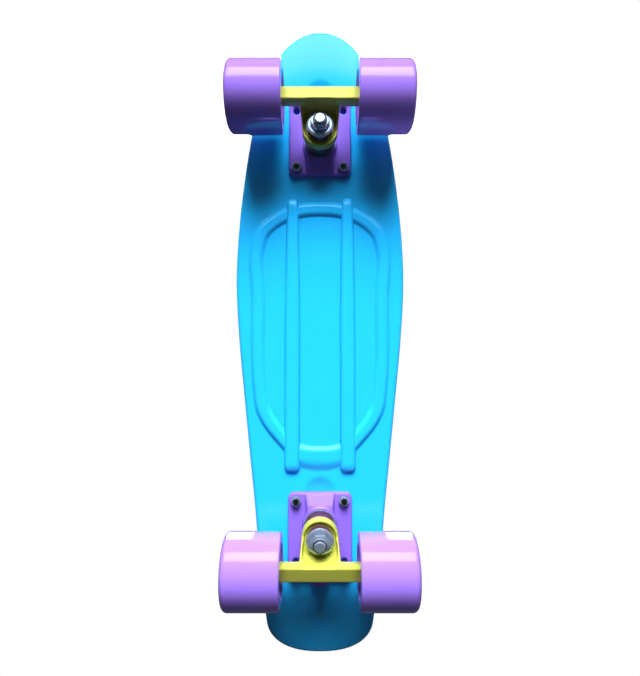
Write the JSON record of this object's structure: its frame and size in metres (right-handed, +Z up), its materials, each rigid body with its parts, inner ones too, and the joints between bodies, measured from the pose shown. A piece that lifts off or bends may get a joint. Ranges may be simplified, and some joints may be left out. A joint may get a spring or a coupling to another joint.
{
  "type": "mini cruiser skateboard",
  "caption": "Moulded plastic mini cruiser skateboard with a kicked tail, waffle tread, sprung steering trucks and free-running urethane wheels.",
  "frame": {"origin": "on the floor between the wheels, below the middle of the deck's length and width", "axes": "+X across the board to its right, +Y towards the nose, +Z up from the floor through the deck"},
  "size_m": [0.1504, 0.56, 0.1031],
  "materials": {
    "deck_plastic": "moulded polypropylene, sky blue, satin tread on top and glossy below",
    "truck_purple": "semi-gloss purple paint on cast aluminium",
    "truck_yellow": "semi-gloss lemon yellow paint on cast aluminium",
    "wheel_urethane": "glossy lilac cast urethane",
    "bushing_urethane": "dark plum urethane, satin",
    "zinc_steel": "bright zinc-plated steel",
    "bearing_steel": "ground bearing steel with pressed shields",
    "black_steel": "black oxide steel",
    "black_nylon": "matt black nylon"
  },
  "bodies": {
    "board": {"deck": "deck_plastic", "front_baseplate": "truck_purple", "front_pivot_cup": "black_nylon", "front_kingpin": "zinc_steel", "front_board_cup_washer": "zinc_steel", "front_board_bushing": "bushing_urethane", "front_road_bushing": "bushing_urethane", "front_road_cup_washer": "zinc_steel", "front_kingpin_nut": "zinc_steel", "front_deck_bolt_1": "black_steel", "front_deck_nut_1": "zinc_steel", "front_deck_bolt_2": "black_steel", "front_deck_nut_2": "zinc_steel", "front_deck_bolt_3": "black_steel", "front_deck_nut_3": "zinc_steel", "front_deck_bolt_4": "black_steel", "front_deck_nut_4": "zinc_steel", "rear_baseplate": "truck_purple", "rear_pivot_cup": "black_nylon", "rear_kingpin": "zinc_steel", "rear_board_cup_washer": "zinc_steel", "rear_board_bushing": "bushing_urethane", "rear_road_bushing": "bushing_urethane", "rear_road_cup_washer": "zinc_steel", "rear_kingpin_nut": "zinc_steel", "rear_deck_bolt_1": "black_steel", "rear_deck_nut_1": "zinc_steel", "rear_deck_bolt_2": "black_steel", "rear_deck_nut_2": "zinc_steel", "rear_deck_bolt_3": "black_steel", "rear_deck_nut_3": "zinc_steel", "rear_deck_bolt_4": "black_steel", "rear_deck_nut_4": "zinc_steel"},
    "front_truck": {"front_hanger": "truck_yellow", "front_axle": "zinc_steel", "front_left_speed_washer": "zinc_steel", "front_left_axle_nut": "zinc_steel", "front_right_speed_washer": "zinc_steel", "front_right_axle_nut": "zinc_steel"},
    "rear_truck": {"rear_hanger": "truck_yellow", "rear_axle": "zinc_steel", "rear_left_speed_washer": "zinc_steel", "rear_left_axle_nut": "zinc_steel", "rear_right_speed_washer": "zinc_steel", "rear_right_axle_nut": "zinc_steel"},
    "front_left_wheel_set": {"front_left_wheel": "wheel_urethane", "front_left_inner_bearing": "bearing_steel", "front_left_outer_bearing": "bearing_steel"},
    "front_right_wheel_set": {"front_right_wheel": "wheel_urethane", "front_right_inner_bearing": "bearing_steel", "front_right_outer_bearing": "bearing_steel"},
    "rear_left_wheel_set": {"rear_left_wheel": "wheel_urethane", "rear_left_inner_bearing": "bearing_steel", "rear_left_outer_bearing": "bearing_steel"},
    "rear_right_wheel_set": {"rear_right_wheel": "wheel_urethane", "rear_right_inner_bearing": "bearing_steel", "rear_right_outer_bearing": "bearing_steel"}
  },
  "joints": [
    {"name": "front_steer", "type": "hinge", "parent": "board", "child": "front_truck", "pos_m": [0, 0.173, 0.045], "axis": [0, 0.8861, 0.4635], "range_deg": [-12, 12], "stiffness_Nm_per_rad": 25, "deforming": ["front_board_bushing", "front_road_bushing"]},
    {"name": "rear_steer", "type": "hinge", "parent": "board", "child": "rear_truck", "pos_m": [0, -0.16, 0.045], "axis": [0, -0.8861, 0.4635], "range_deg": [-12, 12], "stiffness_Nm_per_rad": 25, "deforming": ["rear_board_bushing", "rear_road_bushing"]},
    {"name": "front_left_wheel_spin", "type": "hinge", "parent": "front_truck", "child": "front_left_wheel_set", "pos_m": [-0.05275, 0.1963, 0.0295], "axis": [1, 0, 0], "continuous": true},
    {"name": "front_right_wheel_spin", "type": "hinge", "parent": "front_truck", "child": "front_right_wheel_set", "pos_m": [0.05275, 0.1963, 0.0295], "axis": [1, 0, 0], "continuous": true},
    {"name": "rear_left_wheel_spin", "type": "hinge", "parent": "rear_truck", "child": "rear_left_wheel_set", "pos_m": [-0.05275, -0.1833, 0.0295], "axis": [1, 0, 0], "continuous": true},
    {"name": "rear_right_wheel_spin", "type": "hinge", "parent": "rear_truck", "child": "rear_right_wheel_set", "pos_m": [0.05275, -0.1833, 0.0295], "axis": [1, 0, 0], "continuous": true}
  ]
}
